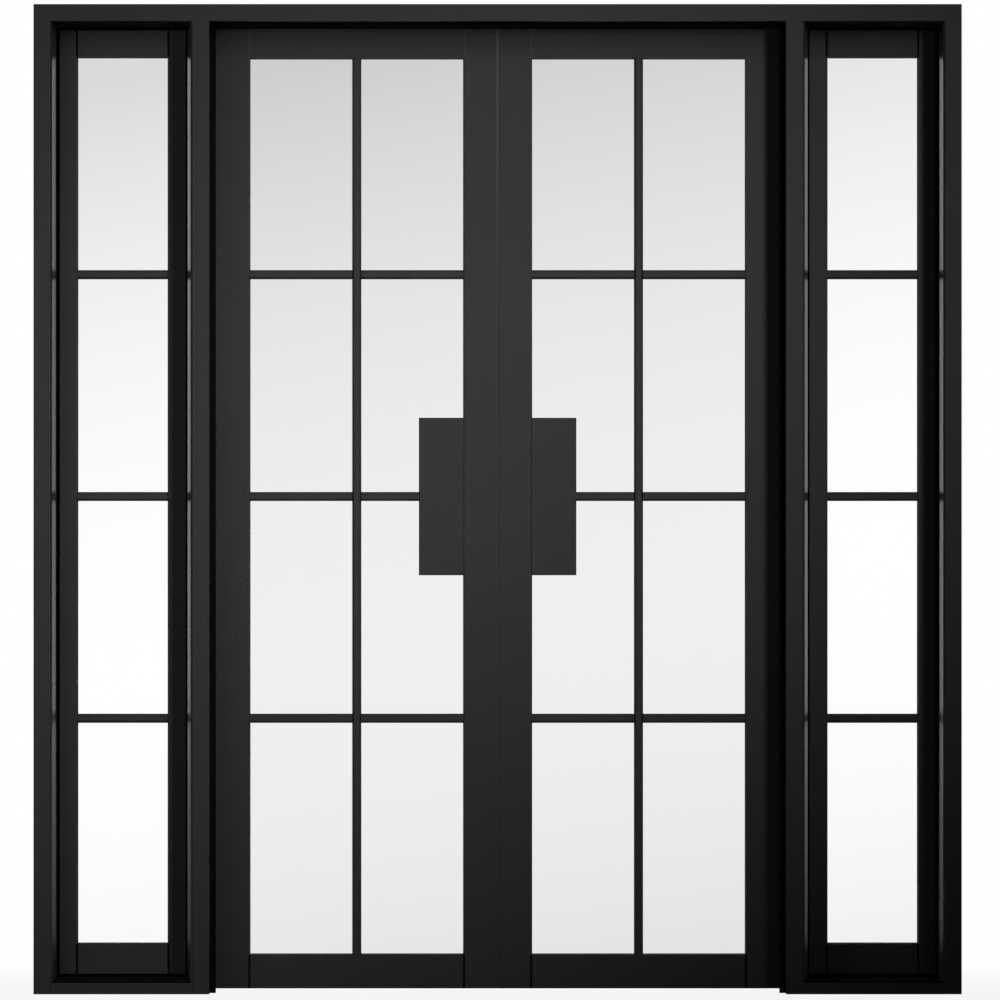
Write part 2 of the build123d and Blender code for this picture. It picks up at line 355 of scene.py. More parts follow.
class StageSettings(bpy.types.PropertyGroup):
    """Camera, light and floor."""

    camera_distance: bpy.props.FloatProperty(
        name="Camera distance",
        description="From the camera to the divider's front face",
        unit="LENGTH",
        default=24.0,
    )
    picture_width: bpy.props.FloatProperty(
        name="Picture width",
        description="Width that the picture takes in at the front face",
        unit="LENGTH",
        default=2.051,
    )
    aim_across: bpy.props.FloatProperty(
        name="Aim across",
        description="Picture's middle, right of the divider's middle",
        unit="LENGTH",
        default=4.9 * MM,
    )
    aim_height: bpy.props.FloatProperty(
        name="Aim height",
        description="Picture's middle above the floor",
        unit="LENGTH",
        default=1.0138,
    )
    key_power: bpy.props.FloatProperty(
        name="Key power",
        description="Power of the column of distant spot lamps at the right",
        unit="POWER",
        default=4080.0,
    )
    key_spread: bpy.props.FloatProperty(
        name="Key spread",
        description="Full angle over which the key fades out",
        unit="ROTATION",
        default=math.radians(12.0),
    )
    key_aim: bpy.props.FloatVectorProperty(
        name="Key aim",
        description="Point that the key lamps face",
        subtype="TRANSLATION",
        size=3,
        default=(1.0, 0.0, 1.5),
    )
    side_power: bpy.props.FloatProperty(
        name="Side power",
        description="Power of the wider lamps beside the key, which reach the lower left",
        unit="POWER",
        default=2280.0,
    )
    side_spread: bpy.props.FloatProperty(
        name="Side spread",
        description="Full angle over which the wider lamps fade out",
        unit="ROTATION",
        default=math.radians(15.0),
    )
    side_aim: bpy.props.FloatVectorProperty(
        name="Side aim",
        description="Point that the wider lamps face",
        subtype="TRANSLATION",
        size=3,
        default=(0.1, 0.0, 0.9),
    )
    fill_power: bpy.props.FloatProperty(
        name="Fill power",
        description="Power of the soft lamp at the left",
        unit="POWER",
        default=18.6,
    )
    fill_size: bpy.props.FloatProperty(
        name="Fill size",
        description="Side of the soft lamp's square",
        unit="LENGTH",
        default=1.8,
    )
    fill_aim: bpy.props.FloatVectorProperty(
        name="Fill aim",
        description="Point that the soft lamp faces",
        subtype="TRANSLATION",
        size=3,
        default=(0.42, 0.0, 1.26),
    )
    fill_offset: bpy.props.FloatVectorProperty(
        name="Fill offset",
        description="From the point that the soft lamp faces to the lamp",
        subtype="TRANSLATION",
        size=3,
        default=(-1.7, -2.4, 0.0),
    )
    front_tone: bpy.props.FloatProperty(
        name="Front tone",
        description="Brightness of the room in front of the divider",
        min=0,
        default=0.045,
    )
    back_tone: bpy.props.FloatProperty(
        name="Back tone",
        description="Brightness of the room behind the divider",
        min=0,
        default=1.0,
    )
    pane_glow: bpy.props.FloatProperty(
        name="Pane glow",
        description="Brightness of the backdrop that the panes show",
        min=0,
        default=1.06,
    )
    glow_tilt: bpy.props.FloatProperty(
        name="Glow tilt",
        description="Slope of the backdrop's bright band, which rises to the right",
        default=0.16,
    )
    door_shade: bpy.props.FloatProperty(
        name="Door shade",
        description="Share of that brightness that the backdrop has behind the doors",
        min=0,
        max=1,
        default=0.865,
    )
    floor_colour: bpy.props.FloatVectorProperty(
        name="Floor",
        description="Colour of the pale floor",
        subtype="COLOR",
        size=3,
        default=linear("#f2f2f2"),
    )
    floor_shade: bpy.props.FloatVectorProperty(
        name="Floor bounce",
        description="Colour of the light that the floor throws back",
        subtype="COLOR",
        size=3,
        default=linear("#4a4a4a"),
    )


# Shapes


def ring_faces(index):
    """Quads between each ring of vertices and the next, for rows of vertex numbers that close."""
    turned = np.roll(index, -1, axis=1)
    quads = np.stack([index[:-1], index[1:], turned[1:], turned[:-1]], axis=2)
    return quads.reshape(-1, 4).tolist()


def fillet_along(path, face_y, width, toward):
    """Vertices and faces of a fillet carried round a closed path in X and Z, on a face at one Y.

    The path's points p turn by mitres m, where m = (n1 + n2) / (1 + n1 . n2) for the inward normals
    n1 and n2 of the two edges that meet there. The profile has three corners: at p, off the face by
    the width; on the face, at p + width * m; and at p itself. Each is carried along the whole path.
    """
    points = np.array(path, float)
    along = np.roll(points, -1, axis=0) - points
    along /= np.linalg.norm(along, axis=1, keepdims=True)
    normals = np.stack([-along[:, 1], along[:, 0]], axis=1)
    before = np.roll(normals, 1, axis=0)
    mitre = (before + normals) / (1 + np.sum(before * normals, axis=1, keepdims=True))
    count = len(points)
    ring = np.full((3, count, 3), face_y)
    ring[:, :, 0::2] = points
    ring[0, :, 1] += toward * width
    ring[1, :, 0::2] += width * mitre
    index = np.arange(3 * count).reshape(3, count)
    faces = ring_faces(np.concatenate([index, index[:1]]))
    return ring.reshape(-1, 3), [face[::-1] for face in faces] if toward < 0 else faces


def joint_shade_bead(across, low, high, face_y, toward, settings):
    """Vertices and faces of a flat bead up a joint, which carries painted shade and, on the doors, a
    painted highlight at the top.

    The profile is half an ellipse, (width / 2 * cos(t), rise * sin(t)), and is carried along Z.
    """
    turn = np.linspace(0, math.pi, 7)
    ring = np.empty((2, len(turn), 3))
    ring[:, :, 0] = across + settings.joint_shade_width / 2 * np.cos(turn)
    ring[:, :, 1] = face_y + toward * settings.joint_shade_rise * np.sin(turn)
    ring[:, :, 2] = np.array([[low], [high]])
    index = np.arange(2 * len(turn)).reshape(2, -1)
    faces = ring_faces(index) + [index[0].tolist(), index[1, ::-1].tolist()]
    return ring.reshape(-1, 3), [face[::-1] for face in faces] if toward > 0 else faces


def screw_head(radius, spokes=24, rings=9):
    """Vertices and faces of a countersunk head on a polar grid, its rim at height 0 along X.

    Height is a shallow dome, d * (1 - (r / R)^2), less the cross recess, whose depth is the greater
    of two ridge functions of the distance from the cross's arms, smoothstep(1 - |y| / arm) within
    the arms' reach. Below the rim a skirt drops into the flap and closes underneath.
    """
    dome = 0.12 * MM
    recess = 0.9 * MM
    skirt_depth = 0.8 * MM
    skirt_taper = 0.8
    arm = 0.30 * radius
    reach = 0.62 * radius
    run_out = 0.25 * radius
    share = np.linspace(0, 1, rings + 1)[1:]
    turn = np.linspace(0, 2 * math.pi, spokes, endpoint=False)
    r, t = np.meshgrid(share * radius, turn, indexing="ij")
    a = r * np.cos(t)
    b = r * np.sin(t)

    def ridge(off, on):
        across = np.clip(1 - np.abs(off) / arm, 0, 1)
        within = np.clip((reach - np.abs(on)) / run_out, 0, 1)
        return across * across * (3 - 2 * across) * within

    height = dome * (1 - (r / radius) ** 2) - recess * np.maximum(ridge(a, b), ridge(b, a))
    top = np.stack([height, a, b], axis=2)
    skirt = top[-1:] * np.array([0, skirt_taper, skirt_taper]) - np.array([skirt_depth, 0, 0])
    points = np.concatenate([top, skirt])
    index = np.arange((rings + 1) * spokes).reshape(rings + 1, spokes)
    caps = [index[0].tolist(), index[-1, ::-1].tolist()]
    return points.reshape(-1, 3), ring_faces(index) + caps


def joined(shapes):
    """One (vertices, faces) pair from several, with the vertex numbers of each moved past the last."""
    starts = np.cumsum([0] + [len(points) for points, _ in shapes]).tolist()
    points = np.concatenate([points for points, _ in shapes])
    faces = [
        [start + vertex for vertex in face]
        for (_, listed), start in zip(shapes, starts)
        for face in listed
    ]
    return points, faces


def make_piece(name, shape, material, body, smooth=False):
    """Add a mesh piece at the origin from vertices and faces, riding on a body of the frame."""
    mesh = bpy.data.meshes.new(name)
    points, faces = shape
    mesh.from_pydata(points.tolist(), [], faces)
    mesh.polygons.foreach_set("use_smooth", np.full(len(mesh.polygons), smooth))
    mesh.materials.append(material)
    mesh.update()
    piece = bpy.data.objects.new(name, mesh)
    bpy.context.scene.collection.objects.link(piece)
    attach(piece, body)


# Materials


def add_node(tree, kind, settings=None, inputs=None):
    """Add a node with its settings; an input is set to a value, or linked to another node's socket."""
    node = tree.nodes.new(kind)
    for key, value in (settings or {}).items():
        setattr(node, key, value)
    for key, value in (inputs or {}).items():
        if isinstance(value, bpy.types.NodeSocket):
            tree.links.new(value, node.inputs[key])
        else:
            node.inputs[key].default_value = value
    return node


def new_material(name):
    """A material, and its node tree with nothing in it."""
    material = bpy.data.materials.new(name)
    material.use_nodes = True
    material.node_tree.nodes.clear()
    return material, material.node_tree


def satin_paint(name, settings, along):
    """Sprayed satin paint on timber: a dark, even film that rolls a soft highlight over eased edges.

    The film has a fine orange peel, and the grain under it shows as faint long ripples that run
    along the piece, level or upright.
    """
    grain_scale = 1 / settings.grain_width
    grain_stretch = 0.03
    # Real orange peel is about 1 mm across, and is drawn at 3 mm so that it shows
    peel_width = 3 * MM
    cloud_width = 350 * MM
    gloss_swing = 0.02
    material, tree = new_material(name)
    place = add_node(tree, "ShaderNodeTexCoord").outputs["Object"]
    squeeze = (grain_scale, grain_scale, grain_scale * grain_stretch)
    if along == "level":
        squeeze = (grain_scale * grain_stretch, grain_scale, grain_scale)
    lengthwise = add_node(tree, "ShaderNodeMapping", inputs={"Vector": place, "Scale": squeeze})
    grain = add_node(
        tree,
        "ShaderNodeTexNoise",
        inputs={"Vector": lengthwise.outputs[0], "Scale": 1.0, "Detail": 4.0, "Roughness": 0.6},
    )
    peel = add_node(
        tree,
        "ShaderNodeTexNoise",
        inputs={"Vector": place, "Scale": 1 / peel_width, "Detail": 2.0},
    )
    cloud = add_node(
        tree,
        "ShaderNodeTexNoise",
        inputs={"Vector": place, "Scale": 1 / cloud_width, "Detail": 3.0},
    )
    tone = add_node(
        tree,
        "ShaderNodeMix",
        {"data_type": "RGBA"},
        {
            "Factor": cloud.outputs["Fac"],
            "A": (*settings.colour, 1),
            "B": (*settings.worn_colour, 1),
        },
    )
    gloss = add_node(
        tree,
        "ShaderNodeMapRange",
        inputs={
            "Value": grain.outputs["Fac"],
            "From Min": 0.3,
            "From Max": 0.7,
            "To Min": settings.roughness - gloss_swing,
            "To Max": settings.roughness + gloss_swing,
        },
    )
    eased = add_node(tree, "ShaderNodeBevel", {"samples": 4}, {"Radius": settings.arris})
    ripple = add_node(
        tree,
        "ShaderNodeBump",
        inputs={
            "Height": grain.outputs["Fac"],
            "Strength": 0.03,
            "Distance": 0.3 * MM,
            "Normal": eased.outputs[0],
        },
    )
    film = add_node(
        tree,
        "ShaderNodeBump",
        inputs={
            "Height": peel.outputs["Fac"],
            "Strength": 0.04,
            "Distance": 0.2 * MM,
            "Normal": ripple.outputs[0],
        },
    )
    shader = add_node(
        tree,
        "ShaderNodeBsdfPrincipled",
        inputs={
            "Base Color": tone.outputs["Result"],
            "Roughness": gloss.outputs["Result"],
            "IOR": 1.5,
            "Specular IOR Level": settings.sheen,
            "Normal": film.outputs[0],
        },
    )
    add_node(tree, "ShaderNodeOutputMaterial", inputs={"Surface": shader.outputs[0]})
    return material


def bead_gloss(settings):
    """Gloss black paint on the beads: a mirror line beside each pane, dulled towards the floor.

    Dust and scuffs dull it, and the brush leaves the gloss a little uneven.
    """
    brush_width = 2 * MM
    unevenness = 0.15
    material, tree = new_material("gloss_black_bead_paint")
    place = add_node(tree, "ShaderNodeTexCoord").outputs["Object"]
    height = add_node(tree, "ShaderNodeSeparateXYZ", inputs={"Vector": place}).outputs["Z"]
    wear = add_node(
        tree,
        "ShaderNodeMapRange",
        {"interpolation_type": "SMOOTHSTEP"},
        {
            "Value": height,
            "From Min": 0.0,
            "From Max": settings.dull_height,
            "To Min": settings.bead_dullness,
            "To Max": settings.bead_roughness,
        },
    )
    brush = add_node(
        tree,
        "ShaderNodeTexNoise",
        inputs={"Vector": place, "Scale": 1 / brush_width, "Detail": 3.0},
    )
    uneven = add_node(
        tree,
        "ShaderNodeMapRange",
        inputs={
            "Value": brush.outputs["Fac"],
            "To Min": 1 - unevenness,
            "To Max": 1 + unevenness,
        },
    )
    gloss = add_node(
        tree,
        "ShaderNodeMath",
        {"operation": "MULTIPLY"},
        {0: wear.outputs["Result"], 1: uneven.outputs["Result"]},
    )
    shader = add_node(
        tree,
        "ShaderNodeBsdfPrincipled",
        inputs={
            "Base Color": (*settings.colour, 1),
            "Roughness": gloss.outputs[0],
            "Specular IOR Level": settings.bead_sheen,
        },
    )
    add_node(tree, "ShaderNodeOutputMaterial", inputs={"Surface": shader.outputs[0]})
    return material


def float_glass(settings):
    """Clear toughened float glass: flat, bright and nearly colourless, with a faint roller wave."""
    wave_width = 250 * MM
    material, tree = new_material("clear_float_glass")
    place = add_node(tree, "ShaderNodeTexCoord").outputs["Object"]
    wave = add_node(
        tree,
        "ShaderNodeTexNoise",
        inputs={"Vector": place, "Scale": 1 / wave_width, "Detail": 0.0},
    )
    roll = add_node(
        tree,
        "ShaderNodeBump",
        inputs={"Height": wave.outputs["Fac"], "Strength": 0.004, "Distance": 0.5 * MM},
    )
    shader = add_node(
        tree,
        "ShaderNodeBsdfPrincipled",
        inputs={
            "Base Color": (*settings.tint, 1),
            "Roughness": 0.0,
            "IOR": 1.5,
            "Transmission Weight": 1.0,
            "Normal": roll.outputs[0],
        },
    )
    add_node(tree, "ShaderNodeOutputMaterial", inputs={"Surface": shader.outputs[0]})
    return material


def speckled_coat(name, colour, roughness, speck, depth, sheen=0.5):
    """A coat with a fine grit in its relief: powder coat, blackened steel, flat paint or rubber.

    The grit breaks up the gloss, so that dark surfaces look dull and even.
    """
    gloss_swing = 0.2
    material, tree = new_material(name)
    place = add_node(tree, "ShaderNodeTexCoord").outputs["Object"]
    grit = add_node(
        tree,
        "ShaderNodeTexNoise",
        inputs={"Vector": place, "Scale": 1 / speck, "Detail": 3.0},
    )
    gloss = add_node(
        tree,
        "ShaderNodeMapRange",
        inputs={
            "Value": grit.outputs["Fac"],
            "To Min": roughness * (1 - gloss_swing),
            "To Max": roughness * (1 + gloss_swing),
        },
    )
    relief = add_node(
        tree,
        "ShaderNodeBump",
        inputs={"Height": grit.outputs["Fac"], "Strength": 0.2, "Distance": depth},
    )
    shader = add_node(
        tree,
        "ShaderNodeBsdfPrincipled",
        inputs={
            "Base Color": (*colour, 1),
            "Roughness": gloss.outputs["Result"],
            "Specular IOR Level": sheen,
            "Normal": relief.outputs[0],
        },
    )
    add_node(tree, "ShaderNodeOutputMaterial", inputs={"Surface": shader.outputs[0]})
    return material


def rubber_with_painted_highlight(name, colour, sheen, settings):
    """Dark rubber or joint bead: dull and even, turning paler towards its top end as a painted
    highlight.
    """
    material = speckled_coat(
        name, colour, roughness=0.5, speck=1.5 * MM, depth=0.02 * MM, sheen=sheen
    )
    tree = material.node_tree
    place = add_node(tree, "ShaderNodeTexCoord").outputs["Object"]
    height = add_node(tree, "ShaderNodeSeparateXYZ", inputs={"Vector": place}).outputs["Z"]
    # Painted highlight: the colour turns paler between the start and full heights
    painted_highlight = add_node(
        tree,
        "ShaderNodeMapRange",
        {"interpolation_type": "SMOOTHSTEP"},
        {"Value": height, "From Min": settings.painted_highlight_start, "From Max": settings.painted_highlight_full},
    )
    tone = add_node(
        tree,
        "ShaderNodeMix",
        {"data_type": "RGBA"},
        {
            "Factor": painted_highlight.outputs["Result"],
            "A": (*colour, 1),
            "B": (*settings.painted_highlight_colour, 1),
        },
    )
    shader = tree.nodes["Principled BSDF"]
    tree.links.new(tone.outputs["Result"], shader.inputs["Base Color"])
    return material


def dress(node, material):
    """Give a construction node its finish."""
    mesh = frame["nodes"][node].data
    mesh.materials.clear()
    mesh.materials.append(material)


# Operators, each with the functions that only it needs


class DIVIDER_OT_paint_timber(bpy.types.Operator):
    """Paint every timber piece, with its grain along the piece; the stops and level beads get flat
    black as painted shade
    """

    bl_idname = "divider.paint_timber"
    bl_label = "Paint timber"

    def execute(self, context):
        settings = context.scene.divider_paint
        upright = satin_paint("satin_black_paint_upright_grain", settings, "upright")
        level = satin_paint("satin_black_paint_level_grain", settings, "level")
        # Painted shade: the stops and the level beads get a flat near-black that stands for the shadow
        # in the gaps round the doors and under the head
        flat = speckled_coat(
            "painted_shade_stop_paint",
            settings.stop_shade_colour,
            roughness=0.85,
            speck=2 * MM,
            depth=0.05 * MM,
            sheen=0.05,
        )
        special = {
            "door_side_stops": flat,
            "door_head_stop": flat,
            "sidelight_cross_stops": flat,
            "sidelight_side_stops": bead_gloss(settings),
        }
        slots = {part["node"]: part["material_slot"] for part in frame["record"]["subparts"]}
        for node in frame["nodes"]:
            if slots[node] == "black_paint":
                paint = level if node.endswith(LEVEL_GRAIN) else upright
                dress(node, special.get(node, paint))
        return {"FINISHED"}


class DIVIDER_OT_glaze(bpy.types.Operator):
    """Glaze the sidelights and doors, and bed each sheet in a fine line of sealant"""

    bl_idname = "divider.glaze"
    bl_label = "Glaze"

    def execute(self, context):
        settings = context.scene.divider_glass
        glass = float_glass(settings)
        bedding = speckled_coat(
            "glazing_sealant",
            settings.bedding_colour,
            roughness=0.55,
            speck=1.5 * MM,
            depth=0.05 * MM,
        )
        for side in SIDES:
            for panel, stiles in PANEL_STILES.items():
                name = f"{side}_{panel}"
                dress(f"{name}_glass", glass)
                path = sight_path(name, stiles)
                low, high = corners(f"{name}_glass")
                body = frame["nodes"][f"{name}_glass"]["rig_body"]
                fillets = [
                    fillet_along(path, face_y, settings.bedding_width, toward)
                    for face_y, toward in ((low[1], -1), (high[1], 1))
                ]
                make_piece(f"{name}_sealant", joined(fillets), bedding, body)
        return {"FINISHED"}


def sight_path(panel, stiles):
    """Corners of the opening that shows a panel's glass, in X and Z, anticlockwise from the front."""
    boxes = sorted((corners(f"{panel}_{stile}") for stile in stiles), key=lambda box: box[0][0])
    left, right = boxes[0][1][0], boxes[1][0][0]
    bottom = corners(f"{panel}_bottom_rail")[1][2]
    top = corners(f"{panel}_top_rail")[0][2]
    path = [(left, bottom), (right, bottom), (right, top), (left, top)]
    lock = f"{panel}_lock_block"
    if lock in frame["nodes"]:
        low, high = corners(lock)
        if abs(high[0] - right) < MM:
            path[2:2] = [(right, low[2]), (low[0], low[2]), (low[0], high[2]), (right, high[2])]
        else:
            path += [(left, high[2]), (high[0], high[2]), (high[0], low[2]), (left, low[2])]
    return path


class DIVIDER_OT_fit_shade_fillets(bpy.types.Operator):
    """Run a near-black fillet of painted shade round each fixed panel, in the corner behind its beads
    """

    bl_idname = "divider.fit_gaskets"
    bl_label = "Fit gaskets"

    def execute(self, context):
        settings = context.scene.divider_glass
        # Painted shade: the fillet is near-black and without sheen, so that the corner between bead
        # and panel reads dark
        rubber = speckled_coat(
            "painted_shade_fillet",
            settings.shade_fillet_colour,
            roughness=0.8,
            speck=1.5 * MM,
            depth=0.05 * MM,
            sheen=0.0,
        )
        for side in SIDES:
            path = bead_path(side, settings.bead_thickness)
            panel_front = corners(f"{side}_sidelight_inner_stile")[0][1]
            shade_fillet = fillet_along(path, panel_front, settings.shade_fillet_width, -1)
            make_piece(f"{side}_sidelight_gasket", shade_fillet, rubber, "frame")
        return {"FINISHED"}


def bead_path(side, thickness):
    """Corners of the opening within a sidelight's beads, in X and Z, anticlockwise from the front."""
    uprights = (corners(f"{side}_jamb"), corners(f"{side}_mullion"))
    near, far = sorted(uprights, key=lambda box: box[0][0])
    left = near[1][0] + thickness
    right = far[0][0] - thickness
    bottom = corners(f"{side}_sill")[1][2] + thickness
    top = corners("head")[0][2] - thickness
    return [(left, bottom), (right, bottom), (right, top), (left, top)]


class DIVIDER_OT_fit_hinges(bpy.types.Operator):
    """Coat the hinges and drive their screws"""

    bl_idname = "divider.fit_hinges"
    bl_label = "Fit hinges"

    def execute(self, context):
        settings = context.scene.divider_hardware
        coat = speckled_coat(
            "black_powder_coat",
            settings.hinge_colour,
            roughness=0.45,
            speck=1 * MM,
            depth=0.08 * MM,
        )
        steel = speckled_coat(
            "blackened_steel_screw",
            settings.screw_colour,
            roughness=0.35,
            speck=1 * MM,
            depth=0.02 * MM,
        )
        head = screw_head(settings.screw_radius)
        for side in SIDES:
            for half, body in (("frame", "frame"), ("leaf", f"{side}_door")):
                dress(f"{side}_{half}_hinges", coat)
                places = screw_places(side, half, settings)
                heads = joined([placed_screw(head, centre, facing) for centre, facing in places])
                name = f"{side}_{half}_hinge_screws"
                make_piece(name, heads, steel, body, smooth=True)
        return {"FINISHED"}


def screw_places(side, half, settings):
    """Centre and facing (+1 or -1 along X) of each screw: four to a flap, set out zigzag."""
    # Each screw's rise as a share of the flap's height, and its depth as a share of the flap's depth
    zigzag = ((-0.38, 0.30), (-0.13, 0.62), (0.13, 0.62), (0.38, 0.30))
    outward = -1 if side == "left" else 1
    if half == "frame":
        facing = -outward
        wall = corners(f"{side}_mullion")[0 if side == "right" else 1][0]
    else:
        facing = outward
        wall = corners(f"{side}_door_hinge_stile")[1 if side == "right" else 0][0]
    hinges_low, hinges_high = corners(f"{side}_frame_hinges")
    inset = settings.pin_head + settings.hinge_height / 2
    levels = np.linspace(hinges_low[2] + inset, hinges_high[2] - inset, settings.hinge_count)
    front = hinges_low[1]
    depth = corners("head")[1][1] - front
    across = wall + facing * settings.flap_thickness
    return [
        ((across, front + share * depth, level + rise * settings.hinge_height), facing)
        for level in levels
        for rise, share in zigzag
    ]


def placed_screw(head, centre, facing):
    """A screw head at its centre; one that faces -X gets a half turn, so its faces stay outward."""
    points, faces = head
    return points * np.array([facing, 1, facing]) + np.array(centre), faces


class DIVIDER_OT_fit_seal(bpy.types.Operator):
    """Finish the rubber seal between the meeting stiles, with painted light: a paler tone, and a
    painted highlight at the top
    """

    bl_idname = "divider.fit_seal"
    bl_label = "Fit seal"

    def execute(self, context):
        settings = context.scene.divider_hardware
        # Painted light: the seal's tone is set paler to hide the slit's shade, and turns paler still
        # at the top
        rubber = rubber_with_painted_highlight(
            "seal_rubber_with_painted_light", settings.seal_tone_and_painted_light, settings.seal_sheen, settings
        )
        dress("meeting_seal", rubber)
        return {"FINISHED"}


class DIVIDER_OT_shade_joints(bpy.types.Operator):
    """Run a fine near-black bead up each joint between a rail and its stiles as painted shade, turning
    to a painted highlight at the top of the doors
    """

    bl_idname = "divider.caulk_joints"
    bl_label = "Caulk joints"

    def execute(self, context):
        settings = context.scene.divider_hardware
        # Painted shade in the joints; on the doors the beads also turn paler at the top as a painted
        # highlight
        joint_shades = {
            "sidelight": speckled_coat(
                "painted_shade_joint_beads",
                settings.joint_shade_colour,
                roughness=0.85,
                speck=2 * MM,
                depth=0.05 * MM,
                sheen=settings.joint_shade_sheen,
            ),
            "door": rubber_with_painted_highlight(
                "joint_beads_painted_shade_and_highlight", settings.joint_shade_colour, settings.joint_shade_sheen, settings
            ),
        }
        for side in SIDES:
            for panel, caulk in joint_shades.items():
                rails = [f"{side}_{panel}_{place}_rail" for place in ("top", "bottom")]
                beads = [bead for rail in rails for bead in joint_beads(rail, settings)]
                body = frame["nodes"][rails[0]]["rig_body"]
                make_piece(f"{side}_{panel}_caulk", joined(beads), caulk, body)
        return {"FINISHED"}


def joint_beads(rail, settings):
    """Beads of painted shade at both ends of a rail, on its front and its back."""
    low, high = corners(rail)
    return [
        joint_shade_bead(end, low[2], high[2], face_y, toward, settings)
        for end in (low[0], high[0])
        for face_y, toward in ((low[1], -1), (high[1], 1))
    ]


class DIVIDER_OT_set_stage(bpy.types.Operator):
    """Set the light of the room, the floor, the lamps and the camera"""

    bl_idname = "divider.set_stage"
    bl_label = "Set stage"

    def execute(self, context):
        settings = context.scene.divider_stage
        scene = context.scene
        scene.view_settings.view_transform = "Standard"
        middle = (cad_low + cad_high) / 2
        scene.world = studio_world(settings)
        pale_floor(settings, middle)
        spot_column("key_lamp", settings.key_aim, settings.key_power, settings.key_spread)
        spot_column("side_lamp", settings.side_aim, settings.side_power, settings.side_spread)
        fill_aim = Vector(settings.fill_aim)
        fill_place = fill_aim + Vector(settings.fill_offset)
        fill = lamp("fill_lamp", "AREA", fill_place, fill_aim, settings.fill_power)
        fill.size = settings.fill_size
        scene.camera = front_camera(settings, middle)
        return {"FINISHED"}


def front_camera(settings, middle):
    """A camera with a long lens, level and straight in front of the divider."""
    camera_data = bpy.data.cameras.new("front_camera")
    camera_data.sensor_fit = "HORIZONTAL"
    camera_data.sensor_width = 36.0
    camera_data.lens = camera_data.sensor_width * settings.camera_distance / settings.picture_width
    camera_data.clip_end = 200.0
    camera = bpy.data.objects.new("front_camera", camera_data)
    across = middle.x + settings.aim_across
    camera.location = (across, cad_low.y - settings.camera_distance, settings.aim_height)
    camera.rotation_euler = (math.pi / 2, 0, 0)
    bpy.context.scene.collection.objects.link(camera)
    return camera


def lamp(name, kind, place, target, power):
    """A lamp of a kind at a place, facing a target; its data, for the rest of its settings."""
    lamp_data = bpy.data.lights.new(name, kind)
    lamp_data.energy = power
    holder = bpy.data.objects.new(name, lamp_data)
    holder.location = place
    holder.rotation_euler = (target - place).to_track_quat("-Z", "Y").to_euler()
    bpy.context.scene.collection.objects.link(holder)
    return lamp_data


def spot_column(name, aim, power, spread):
    """Soft spot lamps one over the other at the right, on an arc about a point that they all face.

    Each stands at aim + distance * (sin(turn) cos(rise), -cos(turn) cos(rise), sin(rise)). The turn
    sets how wide the shadows of the uprights fall, and the spread of rises softens the shadow of the
    head.
    """
    distance = 12.0
    turn = math.radians(25.4)
    rises = (4, 14, 24, 34)
    target = Vector(aim)
    for rise in rises:
        up = math.radians(rise)
        away = Vector(
            (math.sin(turn) * math.cos(up), -math.cos(turn) * math.cos(up), math.sin(up))
        )
        place = target + distance * away
        spot = lamp(f"{name}_{rise}", "SPOT", place, target, power / len(rises))
        spot.spot_size = spread
        spot.spot_blend = 1.0
        spot.shadow_soft_size = 0.7


